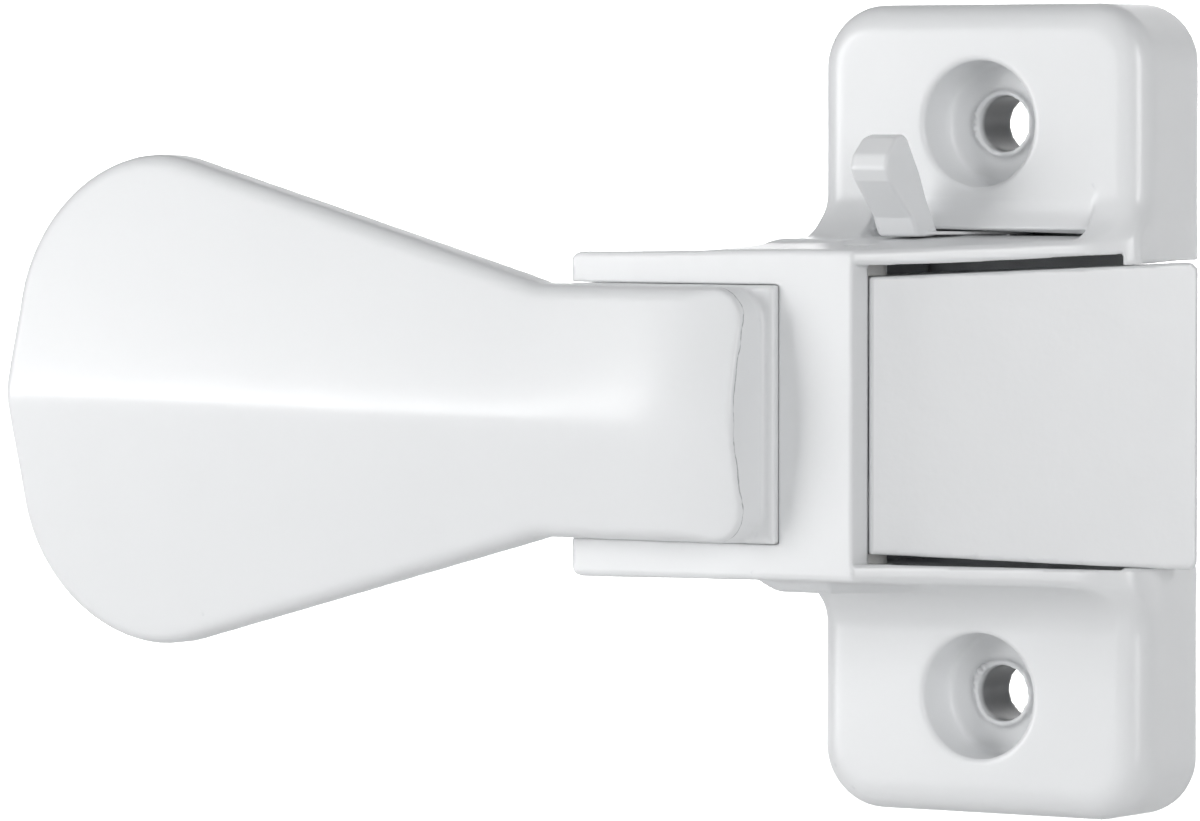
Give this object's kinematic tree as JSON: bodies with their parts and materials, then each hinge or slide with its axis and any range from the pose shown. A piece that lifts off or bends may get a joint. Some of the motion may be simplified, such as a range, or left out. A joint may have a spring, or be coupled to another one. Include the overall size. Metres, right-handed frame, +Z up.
{
  "type": "storm door latch",
  "caption": "White inside latch for a screen or storm door, with a push paddle, a sloping swinging tongue, a small night lock and two counterbored screw holes",
  "frame": {"origin": "middle of the two mounting screws, on the plane that lies against the door", "axes": "+X toward the door's closing edge, where the tongue sticks out; -Y faces the room; +Z up"},
  "size_m": [0.0964, 0.031, 0.063],
  "materials": {
    "white_paint": "smooth semi-gloss white paint over a zinc die casting, slightly rough on parting lines",
    "plated_steel": "bright zinc-plated steel",
    "galvanised_sheet": "dull galvanised sheet steel",
    "spring_steel": "plain drawn spring steel",
    "nylon": "natural moulded nylon"
  },
  "bodies": {
    "mounting": {"body_casting": "white_paint", "back_plate": "galvanised_sheet", "back_plate_screws": "plated_steel", "lever_pivot_pin": "plated_steel", "lever_pin_clips": "spring_steel", "lever_washers": "nylon", "lever_return_spring": "spring_steel", "tongue_pivot_pin": "plated_steel", "tongue_pin_clips": "spring_steel", "tongue_washers": "nylon", "tongue_spring_sleeve": "nylon", "tongue_spring": "spring_steel", "lock_rivet": "plated_steel", "lock_wave_washer": "spring_steel"},
    "lever": {"paddle_lever": "white_paint", "plunger_pad": "nylon"},
    "tongue": {"latch_tongue": "white_paint"},
    "lock": {"night_lock": "white_paint"}
  },
  "joints": [
    {"name": "lever_push", "type": "hinge", "parent": "mounting", "child": "lever", "pos_m": [-0.0215, -0.0195, 0], "axis": [0, 0, -1], "range_deg": [0, 13.8], "stiffness_Nm_per_rad": 0.35, "springref_deg": -17.19, "deforming": ["lever_return_spring"]},
    {"name": "tongue_swing", "type": "hinge", "parent": "mounting", "child": "tongue", "pos_m": [-0.0042, -0.0198, 0], "axis": [0, 0, 1], "range_deg": [0, 13.5], "stiffness_Nm_per_rad": 0.06, "springref_deg": -17.19, "deforming": ["tongue_spring"]},
    {"name": "lock_turn", "type": "hinge", "parent": "mounting", "child": "lock", "pos_m": [0, -0.0048, 0], "axis": [0, 0, 1], "range_deg": [0, 60]}
  ],
  "couplings": [
    {"joint": "tongue_swing", "follows": "lever_push", "ratio": 0.966}
  ]
}
